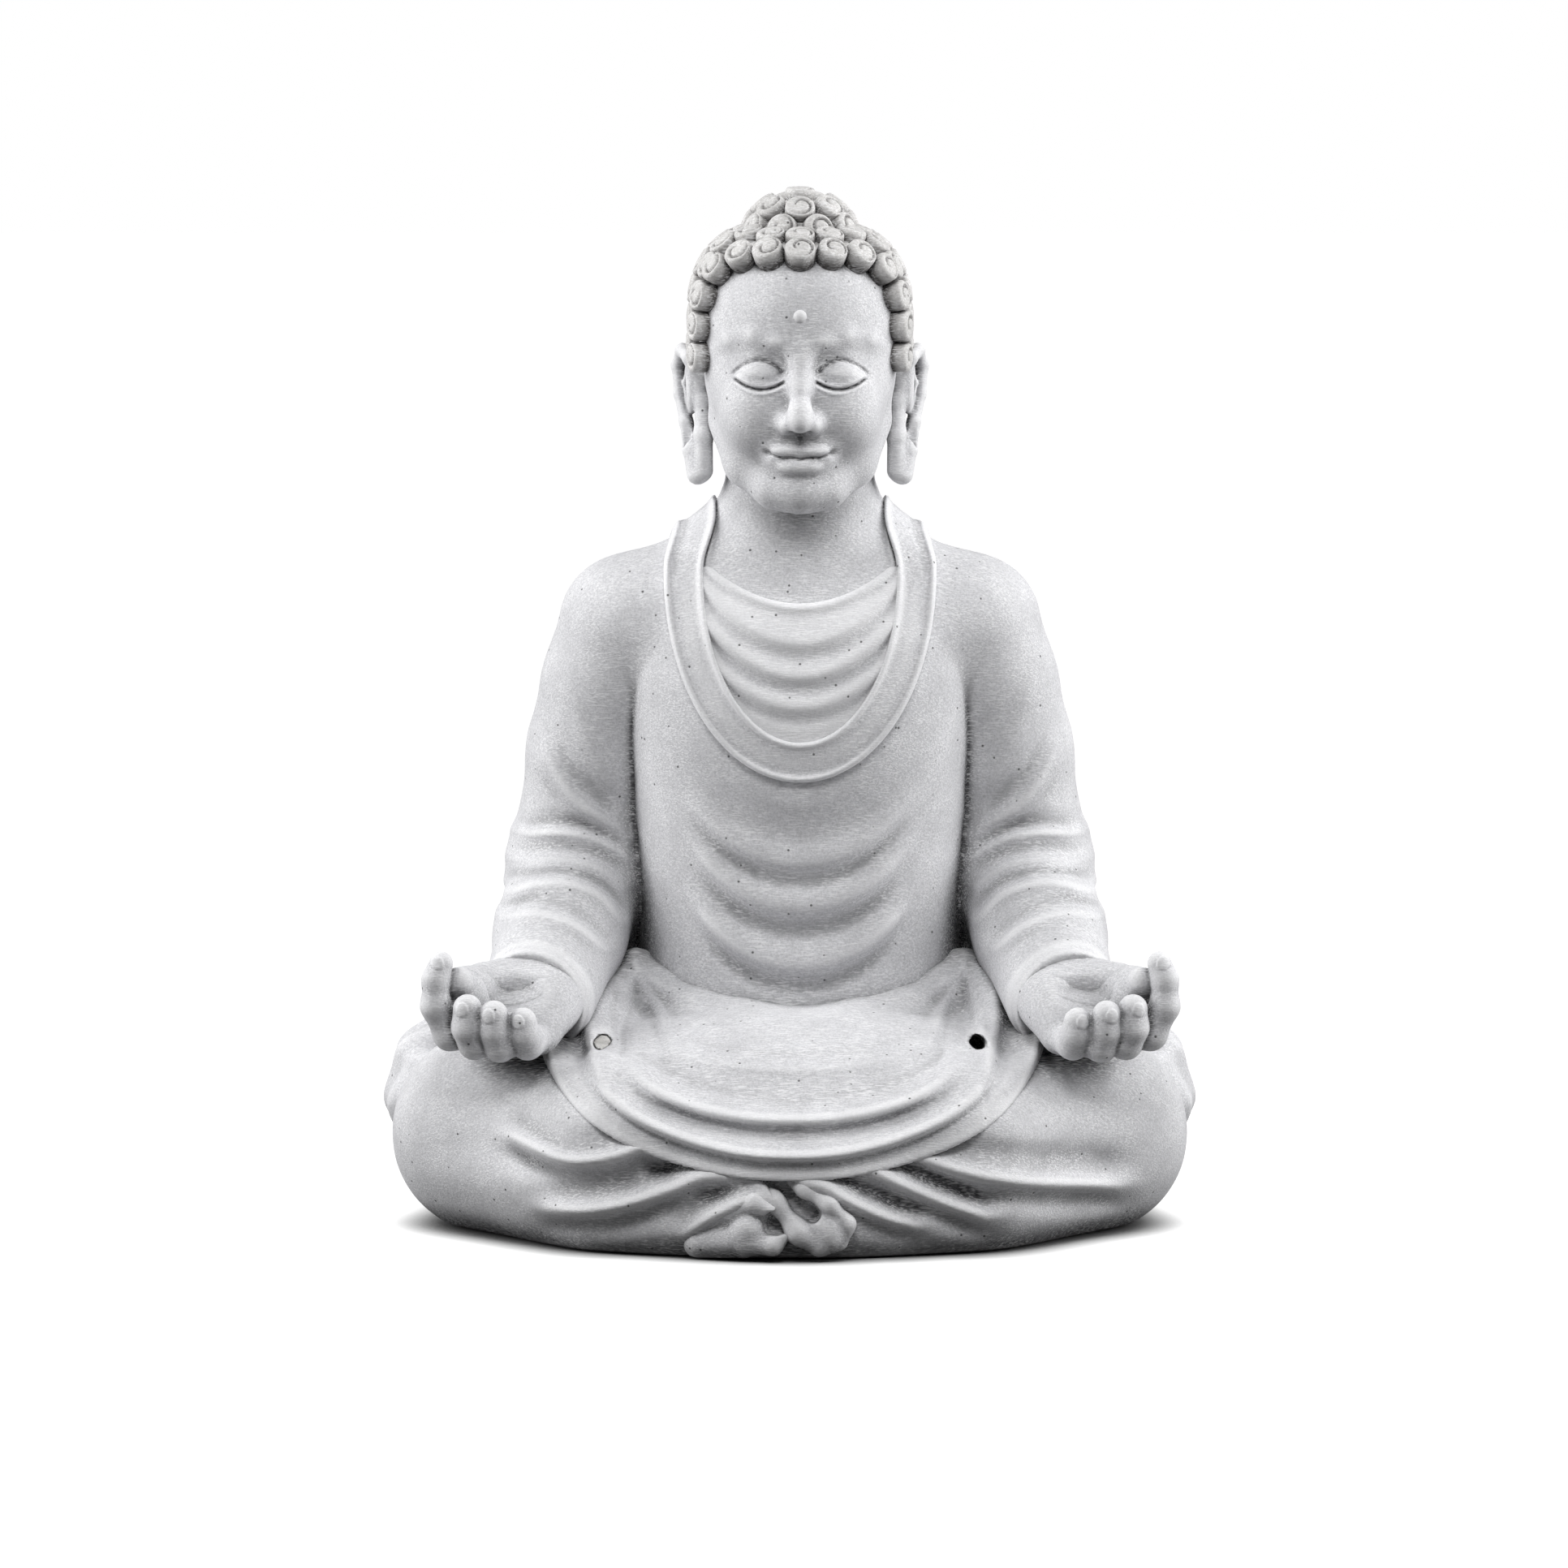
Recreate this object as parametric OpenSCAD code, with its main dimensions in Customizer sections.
// Seated Buddha in cast stone, made in sections that are doweled and bonded together.
// +Z is up and the statue faces -Y. The origin is on the ground, in the middle of the statue's box.
// Left and right are the statue's own, so its left hand is at +X.

/* [Statue] */
// Height from the ground to the top curl
total_h = 500; // [450:10:550]
// Width across the knees and the drapes behind them
knee_span = 392; // [360:8:424]
// Depth from the shins to the seat
depth = 290; // [270:5:310]
// How far head and chest stand to the left of the knees' middle
lean = 5; // [0:1:8]
// Gap left by a bonded joint
joint_gap = 0.3; // [0.2:0.1:0.6]

/* [Robe] */
// Thickness of the lap apron
apron_t = 5; // [4:0.5:7]
// Thickness of the collar band
collar_t = 4.5; // [3.5:0.5:6]
// Thickness of the inner robe panel
panel_t = 2.2; // [1.5:0.1:2.8]

/* [Hair] */
// Radius of one curl at its foot
curl_r = 6.8; // [6:0.2:7]
// Height of one curl
curl_h = 5; // [4:0.5:6]

/* [Hardware] */
// Diameter of the armature rod
rod_d = 12; // [10:1:14]
// Diameter of the shoulder dowels
shoulder_dowel_d = 8; // [6:1:10]
// Diameter of the wrist dowels
wrist_dowel_d = 6; // [4:1:7]
// Diameter of the waist dowels
waist_dowel_d = 10; // [8:1:12]
// Thickness of the base plate
plate_t = 10; // [8:1:12]
// Thread diameter of the base screws
screw_d = 6; // [5:1:6]

/* [Hidden] */

LEFT = 1;
RIGHT = -1;
STONE = [0.78, 0.78, 0.79];
HAIR = [0.68, 0.67, 0.66];
STEEL = [0.55, 0.57, 0.60];
BRASS = [0.72, 0.62, 0.38];

// The statue's shapes are given at its nominal size and stretched to the sizes above.
nominal = [392, 290, 500];
stretch = [knee_span / nominal.x, depth / nominal.y, total_h / nominal.z];
function at(p) = [for (i = [0:2]) p[i] * stretch[i]];

hole_gap = 0.2;        // radial room round a dowel or a screw
seat_z = 98;           // plane where the torso stands on the legs
trunk_y = 50;          // middle of the torso from front to back
head_y = 44;           // middle of the head from front to back
neck_foot_z = 300;     // plane where the neck stands in the torso
floor_reach = 400;     // half size of a cutting block
through = 1;           // how far a cut runs on past the face that it opens
joint_overlap = 0.1;   // how far two halves of one piece run into each other

// ---------- Soft shapes ----------

// An ellipsoid at nominal centre c with radii r, grown by g. Small ones take fewer sides.
module oval(c, r, g = 0) translate(at(c)) scale(at(r) + [g, g, g]) sphere(1, $fn = max(r) < 16 ? 12 : 20);

// Ellipsoids [centre, radii] joined one to the next.
module chain(stations, g = 0)
  for (i = [1:len(stations) - 1])
    hull() {
      oval(stations[i - 1][0], stations[i - 1][1], g);
      oval(stations[i][0], stations[i][1], g);
    }

// A flat level disc at nominal centre c with half sizes rx and ry, grown by g.
module disc(c, rx, ry, g = 0, rise = 0)
  translate(at(c) + [0, 0, rise])
    linear_extrude(0.05)
      scale([rx * stretch.x + g, ry * stretch.y + g])
        circle(1, $fn = 32);

// Level discs [z, y, rx, ry] about x = middle, joined one to the next; the top one rises by g.
module stack(discs, middle, g = 0) {
  last = len(discs) - 1;
  for (i = [1:last])
    hull()
      for (k = [i - 1, i])
        disc([middle, discs[k][1], discs[k][0]], discs[k][2], discs[k][3], g, k == last ? g : 0);
}

// A superellipse outline with half sizes a and b.
function squircle(a, b, n) = [
  for (t = [0:6:354])
    [a * sign(cos(t)) * pow(abs(cos(t)), 2 / n), b * sign(sin(t)) * pow(abs(sin(t)), 2 / n)]
];

// Sends an outline drawn in front view (x across, y up) through the statue, from y0 back to y1.
module front_prism(y0, y1) translate([0, y1, 0]) rotate([90, 0, 0]) linear_extrude(y1 - y0) children();

module above_ground() intersection() {
  children();
  translate([-floor_reach, -floor_reach, 0]) cube([2 * floor_reach, 2 * floor_reach, 2 * floor_reach]);
}

// ---------- Legs and lap ----------

// The foot of the legs at four heights: [z, y, rx, ry].
foot_discs = [[0, 0, 155, 137], [14, 0, 174, 145], [32, 0, 184, 143], [60, 4, 170, 120]];

function leg_stations(side) = [
  [[side * 62, 72, 52], [64, 70, 52]],
  [[side * 112, 26, 50], [54, 52, 45]],
  [[side * 145, -28, 46], [47, 50, 46]],
  [[side * 74, -92, 42], [48, 46, 42]],
  [[side * 8, -104, 36], [38, 36, 34]]
];

module legs(g = 0) {
  for (side = [LEFT, RIGHT]) chain(leg_stations(side), g);
  hull() for (side = [LEFT, RIGHT]) oval(leg_stations(side)[0][0], leg_stations(side)[0][1], g);
  stack(foot_discs, 0, g);
  oval([lean, -20, 30], [150, 103, 68], g);
}

// Room for the hem ends between the shins.
module hem_recess() {
  chain([[[-34, -150, 12], [12, 20, 16]], [[26, -152, 14], [18, 22, 20]]]);
  chain([[[-14, -146, 34], [10, 14, 12]], [[20, -150, 16], [14, 20, 16]]]);
}

hollow_y = 8;          // middle of the hollow and of the base plate
ledge_z = plate_t + joint_gap;
hollow_top = 72;

module leg_hollow() hull() {
  disc([0, hollow_y, -through], 108, 78);
  disc([0, hollow_y, hollow_top], 92, 70);
}

// ---------- Torso, arms, head: envelopes that several pieces share ----------

// Torso without arms: [z, y, rx, ry].
trunk_discs = [
  [seat_z, trunk_y, 84, 66], [128, trunk_y, 82, 66], [165, trunk_y, 83, 65],
  [205, trunk_y - 2, 86, 67], [240, trunk_y - 3, 88, 68], [268, trunk_y - 2, 90, 65],
  [290, trunk_y - 1, 90, 60], [308, trunk_y, 86, 52], [320, trunk_y, 74, 46], [330, trunk_y, 58, 42]
];
module trunk(g = 0) stack(trunk_discs, lean, g);

// From the shoulder down to the elbow and forward to the cuff.
function arm_stations(side) = [
  [[lean + side * 84, 50, 283], [37, 36, 37]],
  [[lean + side * 90, 52, 262], [36, 38, 36]],
  [[lean + side * 100, 56, 215], [34, 38, 34]],
  [[lean + side * 112, 56, 160], [36, 42, 36]],
  [[lean + side * 117, 20, 137], [35, 34, 31]],
  [[lean + side * 121, -20, 125], [31, 22, 27]]
];

// Head without its hair: a rounded block, flatter than a ball at crown and brow.
head_mid = [lean, head_y, 428];
skull_r = [46, 55, 47];
cap_r = [53, 62, 54];
cap_n = 3;
knot_mid = [lean, head_y + 4, 474.9];
knot_r = [19, 21, 20];
knot_n = 2;

function waist_of(t, n) = pow(1 - pow(abs(t), n), 1 / n);
function dome_discs(c, r, n, steps) = [
  for (i = [0:steps])
    let (t = sin(-86 + 172 * i / steps))
      [c.z + r.z * t, c.y, r.x * waist_of(t, n), r.y * waist_of(t, n)]
];
module dome(c, r, n, g = 0) stack(dome_discs(c, r, n, 9), c.x, g);

module neck(g = 0) hull() {
  disc([lean, 48, neck_foot_z], 40, 38, g);
  disc([lean, 44, 385], 35, 36, g);
}

module bare_head(g = 0) {
  dome(head_mid, skull_r, cap_n, g);
  chain([
    [[lean, 22, 414], [43, 38, 38]],
    [[lean, 18, 384], [39, 36, 28]],
    [[lean, 0, 363], [21, 19, 16]]
  ], g);
  neck(g);
}

// ---------- Head pieces ----------

module mirrored_pair() {
  children();
  translate([2 * lean * stretch.x, 0, 0]) mirror([1, 0, 0]) children();
}

module nose() {
  chain([[[lean, -14, 424], [4, 5, 5]], [[lean, -22, 398], [5, 6, 6]], [[lean, -24, 390], [6, 6, 5]]]);
  mirrored_pair() oval([lean + 7, -18, 389], [4, 6, 4]);
}

module brow() chain([[[lean + 7, -16, 424], [3, 3, 2]], [[lean + 20, -14, 429], [4, 4, 2]],
                     [[lean + 33, -4, 425], [3, 4, 2]]]);

module eye() {
  oval([lean + 18, -10, 413], [11, 8, 7]);
  chain([[[lean + 9, -15, 410], [2, 2, 1.2]], [[lean + 18, -17.5, 408], [3, 2, 1.2]],
         [[lean + 28, -12, 410], [2, 2, 1.2]]]);
}

module mouth() {
  chain([[[lean - 13, -15, 374], [3, 3, 2]], [[lean, -18.5, 375], [5, 4, 3]],
         [[lean + 13, -15, 374], [3, 3, 2]]]);
  oval([lean, -17.5, 369.5], [9, 4, 3]);
}

urna = [lean, -12.2, 441];
urna_r = 4;

module head_casting() color(STONE) difference() {
  union() {
    bare_head();
    nose();
    mouth();
    mirrored_pair() brow();
    mirrored_pair() eye();
  }
  translate(at(urna)) sphere(urna_r + hole_gap);
  rod_hole();
}

module urna_bead() color(STONE) translate(at(urna)) sphere(urna_r, $fn = 32);

// The forehead and face that the hair leaves bare, in front view.
face_mid_z = 412;
face_half = [43.5, 53];
module face_window() translate([lean * stretch.x, face_mid_z * stretch.z])
  scale([stretch.x, stretch.z]) polygon(squircle(face_half.x, face_half.y, 4));

nape_z = 381;
sideburn_z = 412;
ear_y = 40;

module block_below(z, y_to) translate(at([-100, -100, 0])) cube(at([200, y_to + 100, z]));

module hair_solid(g = 0) {
  dome(head_mid, cap_r, cap_n, g);
  dome(knot_mid, knot_r, knot_n, g);
}

module hair_cap() color(HAIR) difference() {
  hair_solid();
  bare_head(joint_gap);
  front_prism(-100, ear_y * stretch.y) face_window();
  block_below(nape_z, 150);
  block_below(sideburn_z, ear_y);
}

// Where a curl sits on a dome: t runs from -1 at its foot to 1 at its top, phi turns about +Z.
function seat_on(c, r, n, t, phi) =
  c + [r.x * waist_of(t, n) * cos(phi), r.y * waist_of(t, n) * sin(phi), r.z * t];
function normal_on(r, n, t, phi) =
  [cos(phi) / r.x, sin(phi) / r.y, sign(t) * pow(abs(t), n - 1) * pow(waist_of(t, n), 1 - n) / r.z];

function in_face(p) =
  pow(abs(p.x - lean) / (face_half.x + 5), 4) + pow(abs(p.z - face_mid_z) / (face_half.y + 5), 4) < 1;
function bare_of_curls(p) =
  p.y < ear_y && (in_face(p) || p.z < sideburn_z + curl_r)
  || p.z < nape_z + curl_r
  || abs(p.x - lean) > 38 && abs(p.y - ear_y) < 16 && p.z < sideburn_z + 14;

module curl(p, n) {
  lean_back = acos(n.z / norm(n));
  turn = atan2(n.y, n.x);
  translate(at(p)) rotate([0, lean_back, turn]) translate([0, 0, 0.1]) {
    cylinder(h = curl_h - 1, r1 = curl_r, r2 = curl_r - 0.8, $fn = 24);
    translate([0, 0, curl_h - 1]) cylinder(h = 1, r1 = curl_r - 0.8, r2 = curl_r - 2.4, $fn = 24);
  }
}

curl_pitch = 15.2;
cap_rows = [-0.78, -0.53, -0.25, 0.03, 0.31, 0.57, 0.80, 0.93];
knot_row = 0.62;

module curl_row(c, r, n, t, offset) {
  round_len = PI * (r.x + r.y) * waist_of(t, n);
  count = floor(round_len / curl_pitch);
  for (i = [0:count - 1]) {
    phi = -90 + 360 * (i + offset) / count;
    p = seat_on(c, r, n, t, phi);
    if (!bare_of_curls(p)) curl(p, normal_on(r, n, t, phi));
  }
}

module hair_curls() color(HAIR) {
  for (i = [0:len(cap_rows) - 1]) curl_row(head_mid, cap_r, cap_n, cap_rows[i], i % 2 / 2);
  curl_row(knot_mid, knot_r, knot_n, knot_row, 0);
  curl(knot_mid + [0, 0, knot_r.z], [0, 0, 1]);
}

module ear() chain([
  [[lean + 54, ear_y + 2, 417], [7, 13, 9]],
  [[lean + 56, ear_y, 402], [5, 10, 10]],
  [[lean + 53, ear_y - 3, 380], [4, 6, 9]],
  [[lean + 49, ear_y - 5, 361], [4.5, 7, 7]]
]);

module cut_ear() difference() {
  ear();
  bare_head(joint_gap);
  hair_solid(joint_gap);
}
module left_ear() color(STONE) cut_ear();
module right_ear() color(STONE) translate([2 * lean * stretch.x, 0, 0]) mirror([1, 0, 0]) cut_ear();

// ---------- Robe over the chest ----------

neckline_z = 315;      // level where the U of the neckline starts to curve in
collar_outer = [66, 100];
collar_inner = [47, 80];

// A U in front view: a half ellipse under a straight-sided opening, grown by g.
module neckline(half, g = 0) translate([lean, neckline_z] * stretch.x) {
  scale([half.x + g, half.y + g]) circle(1, $fn = 64);
  translate([-half.x - g, 0]) square([2 * (half.x + g), 60]);
}

module trunk_skin(inner, outer) difference() {
  trunk(outer);
  trunk(inner);
}

module collar_front() intersection() {
  trunk_skin(joint_gap, collar_t);
  front_prism(-100, trunk_y * stretch.y) difference() {
    neckline(collar_outer);
    neckline(collar_inner);
  }
}

// Behind the neck the band runs round as a half ring.
module collar_back() intersection() {
  trunk_skin(joint_gap, collar_t);
  translate(at([lean, trunk_y, neck_foot_z - 40])) linear_extrude(100) difference() {
    circle(collar_outer.x);
    circle(collar_inner.x);
    translate([-floor_reach, -2 * floor_reach - joint_overlap]) square(2 * floor_reach);
  }
}

module collar_band() color(STONE) {
  collar_front();
  collar_back();
}

panel_top_sag = [44, 36];
fold_count = 3;
fold_h = 1.2;

module panel_outline() difference() {
  neckline(collar_inner, -joint_gap);
  translate([lean, neckline_z + 20] * stretch.x) scale(panel_top_sag) circle(1, $fn = 48);
  translate([-100, neckline_z]) square([200, 100]);
}

// The folds hang as parallel Us below the top edge and end short of the collar.
module panel_folds() intersection() {
  neckline(collar_inner, -fold_h);
  for (i = [1:fold_count])
    translate([lean, neckline_z + 20 - 15 * i]) difference() {
      scale(panel_top_sag + [2, 2]) circle(1, $fn = 48);
      scale(panel_top_sag) circle(1, $fn = 48);
      translate([-100, 0]) square([200, 100]);
    }
}

module inner_robe_panel() color(STONE) {
  intersection() {
    trunk_skin(joint_gap, panel_t);
    front_prism(-100, 0) panel_outline();
  }
  intersection() {
    trunk_skin(panel_t / 2, panel_t + fold_h);
    front_prism(-100, 0) panel_folds();
  }
}

// ---------- Body sections ----------

module rod_hole() translate([at([lean, 0, 0]).x, rod_y, 0])
  cylinder(h = rod_top + joint_gap, r = rod_d / 2 + hole_gap, $fn = 32);

module torso_casting() color(STONE) difference() {
  trunk();
  neck(joint_gap);
  rod_hole();
  translate([at([lean, 0, 0]).x, rod_y, seat_z * stretch.z - 1]) cylinder(h = core_h, r = core_r, $fn = 32);
  for (side = [LEFT, RIGHT]) {
    shoulder_dowel_pair(side, hole_gap);
    waist_dowel(side, hole_gap);
  }
}

module cut_arm(side) difference() {
  chain(arm_stations(side));
  trunk(joint_gap);
  collar_guard();
  legs(joint_gap);
  apron_blank(joint_gap);
  in_hand(side) palm(cuff_gap);
  shoulder_dowel_pair(side, hole_gap);
  in_hand(side) wrist_dowel(hole_gap);
}

// Keeps the sleeves clear of the collar.
module collar_guard() intersection() {
  trunk(collar_t + joint_gap);
  translate([lean * stretch.x, 0, 0]) front_prism(-100, 200)
    square([2 * collar_outer.x + 4, 2 * floor_reach], center = true);
}

module left_arm() color(STONE) cut_arm(LEFT);
module right_arm() color(STONE) cut_arm(RIGHT);

module leg_casting() color(STONE) above_ground() difference() {
  legs();
  translate(at([lean, 0, 0])) translate([0, 0, seat_z * stretch.z - joint_gap]) cylinder(h = 200, r = 300);
  hem_recess();
  leg_hollow();
  translate([0, 0, -through]) plate_shape(plate_t + joint_gap + through, joint_gap);
  insert_sockets();
  rod_hole();
  for (side = [LEFT, RIGHT]) {
    waist_dowel(side, hole_gap);
    apron_hole(side);
  }
}

// ---------- Lap apron, hems and drapes ----------

apron_half = [112, 65];
apron_top_z = 104;

module apron_blank(g = 0) intersection() {
  legs(apron_t + g);
  front_prism(-200, 8)
    translate([(lean - 3) * stretch.x, apron_top_z * stretch.z]) scale(apron_half + [g, g]) circle(1, $fn = 72);
}

plug_r = 4;
plug_at = [91, -58];
plug_foot_z = 70;
plug_h = 23;

// The filled hole and the open one near the corners of the apron.
module apron_hole(side) translate(at([side * plug_at.x, plug_at.y, plug_foot_z]))
  cylinder(h = 60, r = plug_r + hole_gap, $fn = 24);

module lap_apron() color(STONE) difference() {
  apron_blank();
  legs(joint_gap);
  trunk(joint_gap);
  for (side = [LEFT, RIGHT]) apron_hole(side);
}
module apron_plug() color(STONE)
  translate(at([RIGHT * plug_at.x, plug_at.y, plug_foot_z])) cylinder(h = plug_h, r = plug_r, $fn = 24);

module scroll_shape(g = 0) {
  chain([[[-40, -128, 16], [12, 14, 12]], [[-26, -131, 13], [12, 13, 12]], [[-15, -131, 20], [8, 10, 8]]], g);
  chain([[[-26, -131, 8], [14, 12, 8]], [[-12, -130, 7], [8, 11, 7]]], g);
}

module hem_scroll() color(STONE) above_ground() difference() {
  scroll_shape();
  cut_leg_front();
}

module hem_tongue() color(STONE) above_ground() difference() {
  chain([[[-9, -128, 36], [6, 10, 6]], [[8, -130, 25], [9, 11, 8]], [[24, -131, 16], [12, 13, 11]],
         [[10, -130, 9], [7, 11, 7]]]);
  cut_leg_front();
  scroll_shape(joint_gap);
}

// The legs with their recess, grown by the joint's gap, for the hem ends to lie against.
module cut_leg_front() {
  difference() {
    legs(joint_gap);
    hem_recess();
  }
  apron_blank(joint_gap);
}

module knee_drape(side) difference() {
  chain([[[side * 172, 30, 88], [10, 16, 8]], [[side * 184, 32, 72], [10, 18, 12]],
         [[side * 187, 32, 54], [9, 18, 14]], [[side * 184, 28, 36], [9, 15, 10]]]);
  legs(joint_gap);
}
module left_knee_drape() color(STONE) knee_drape(LEFT);
module right_knee_drape() color(STONE) knee_drape(RIGHT);

// ---------- Hands ----------

wrist = [123, -30, 120];
hand_pitch = 22;
hand_yaw = 28;
cuff_gap = 1;          // room between the cuff and the hand

// A hand's own frame: fingers along -Y, thumb at +X, palm up. The right hand mirrors the left.
module in_hand(side) translate(at([lean, 0, 0])) mirror([side == RIGHT ? 1 : 0, 0, 0])
  translate(at(wrist)) rotate([hand_pitch, 0, hand_yaw]) children();

module bone(points, radii) for (i = [1:len(points) - 1]) hull() {
  translate(points[i - 1]) sphere(radii[i - 1], $fn = 12);
  translate(points[i]) sphere(radii[i], $fn = 12);
}

module heel_of_hand(g) translate([-4, -16, -2]) scale([25 + g, 16 + g, 12 + g]) sphere(1, $fn = 20);

module palm(g = 0) {
  hull() {
    translate([0, 6, 0]) scale([19 + g, 14 + g, 13 + g]) sphere(1, $fn = 20);
    heel_of_hand(g);
  }
  hull() {
    heel_of_hand(g);
    translate([17, -44, -3]) sphere(9 + g, $fn = 12);
    translate([-16, -40, -3]) sphere(8.5 + g, $fn = 12);
  }
}

module hand_blank(side) in_hand(side) {
  palm();
  bone([[18, -14, 4], [28, -32, 16], [28, -44, 34]], [9, 8, 6.5]);    // thumb
  bone([[18, -46, -2], [26, -60, 8], [27, -53, 27]], [8, 7, 6]);      // index
  bone([[8, -50, -3], [9, -65, 6], [8, -66, 20]], [8, 7.5, 6.5]);     // middle
  bone([[-3, -49, -3], [-4, -63, 6], [-4, -63, 19]], [8, 7.5, 6.5]);  // ring
  bone([[-14, -44, -3], [-17, -56, 5], [-16, -56, 16]], [7.5, 7, 6]); // little
}

module cut_hand(side) difference() {
  hand_blank(side);
  legs(joint_gap);
  apron_blank(joint_gap);
  in_hand(side) translate([-60, 6, -60]) cube([120, 60, 120]);
  in_hand(side) wrist_dowel(hole_gap);
}
module left_hand() color(STONE) cut_hand(LEFT);
module right_hand() color(STONE) cut_hand(RIGHT);

// ---------- Hidden hardware ----------

rod_y = 50;
rod_foot = 53;
rod_top = 430;
core_r = 24;
core_h = 172;
washer_h = 3;
nut_h = 10;
nut_across = 19;

module on_rod(z) translate([at([lean, 0, 0]).x, rod_y, z]) children();

module armature_rod() color(STEEL) on_rod(rod_foot) cylinder(h = rod_top - rod_foot, r = rod_d / 2, $fn = 32);

module armature_washer() color(STEEL) on_rod(hollow_top * stretch.z - washer_h) difference() {
  cylinder(h = washer_h, r = 18, $fn = 48);
  translate([0, 0, -1]) cylinder(h = washer_h + 2, r = rod_d / 2 + hole_gap, $fn = 32);
}

module armature_nut() color(STEEL) on_rod(hollow_top * stretch.z - washer_h - nut_h) difference() {
  cylinder(h = nut_h, d = nut_across / cos(30), $fn = 6);
  translate([0, 0, -1]) cylinder(h = nut_h + 2, r = rod_d / 2 + 0.05, $fn = 32);
}

module shoulder_dowel_pair(side, g = 0)
  for (z = [200, 268])
    translate(at([lean + side * 88, trunk_y, z])) rotate([0, 90, 0])
      cylinder(h = 40 + 2 * g, r = shoulder_dowel_d / 2 + g, center = true, $fn = 32);
module shoulder_dowels() color(STEEL) for (side = [LEFT, RIGHT]) shoulder_dowel_pair(side);

module wrist_dowel(g = 0) translate([0, 24 + g, 0]) rotate([90, 0, 0])
  cylinder(h = 44 + 2 * g, r = wrist_dowel_d / 2 + g, $fn = 32);
module wrist_dowels() color(STEEL) for (side = [LEFT, RIGHT]) in_hand(side) wrist_dowel();

module waist_dowel(side, g = 0) translate(at([lean + side * 48, trunk_y + 12, seat_z]))
  cylinder(h = 36 + 2 * g, r = waist_dowel_d / 2 + g, center = true, $fn = 32);
module waist_dowels() color(STEEL) for (side = [LEFT, RIGHT]) waist_dowel(side);

plate_half = [125, 95];
plate_corner = 60;

// A slab with round corners, made of plain blocks and cylinders.
module plate_shape(h, g = 0) {
  half = [plate_half.x + g, plate_half.y + g];
  r = plate_corner + g;
  translate([0, hollow_y * stretch.y, 0]) {
    translate([-half.x, -half.y + r, 0]) cube([2 * half.x, 2 * (half.y - r), h]);
    translate([-half.x + r, -half.y, 0]) cube([2 * (half.x - r), 2 * half.y, h]);
    for (x = [-1, 1], y = [-1, 1])
      translate([x * (half.x - r), y * (half.y - r), 0]) cylinder(h = h, r = r, $fn = 64);
  }
}

screw_spots = [for (x = [-1, 1]) each [[x * 117, 0], [x * 62, -80], [x * 62, 80]]];
module at_screws() for (p = screw_spots) translate([p.x, p.y + hollow_y * stretch.y, 0]) children();

insert_h = 20;
insert_r = screw_d;
head_sink = 1;         // how far a screw's head lies inside the plate
head_h = screw_d / 2;

module insert_sockets() at_screws() translate([0, 0, ledge_z - 1])
  cylinder(h = insert_h + 2, r = insert_r + hole_gap, $fn = 24);

module base_plate() color(STONE) difference() {
  plate_shape(plate_t);
  at_screws() {
    translate([0, 0, -1]) cylinder(h = plate_t + 2, r = screw_d / 2 + hole_gap, $fn = 32);
    translate([0, 0, -1]) cylinder(h = 1 + head_sink, r = screw_d + hole_gap, $fn = 32);
    translate([0, 0, head_sink]) cylinder(h = head_h, r1 = screw_d + hole_gap, r2 = screw_d / 2 + hole_gap, $fn = 32);
  }
}

module base_screws() color(STEEL) at_screws() translate([0, 0, head_sink]) {
  cylinder(h = head_h, r1 = screw_d, r2 = screw_d / 2, $fn = 32);
  translate([0, 0, head_h]) cylinder(h = plate_t + insert_h - 8, r = screw_d / 2, $fn = 32);
}

module base_inserts() color(BRASS) at_screws() translate([0, 0, ledge_z]) difference() {
  cylinder(h = insert_h, r = insert_r, $fn = 32);
  translate([0, 0, -1]) cylinder(h = insert_h + 2, r = screw_d / 2 + 0.05, $fn = 32);
}

// ---------- The statue ----------

leg_casting();
torso_casting();
left_arm();
right_arm();
left_hand();
right_hand();
head_casting();
hair_cap();
hair_curls();
urna_bead();
left_ear();
right_ear();
collar_band();
inner_robe_panel();
lap_apron();
hem_scroll();
hem_tongue();
left_knee_drape();
right_knee_drape();
apron_plug();
base_plate();
base_screws();
base_inserts();
armature_rod();
armature_washer();
armature_nut();
shoulder_dowels();
wrist_dowels();
waist_dowels();
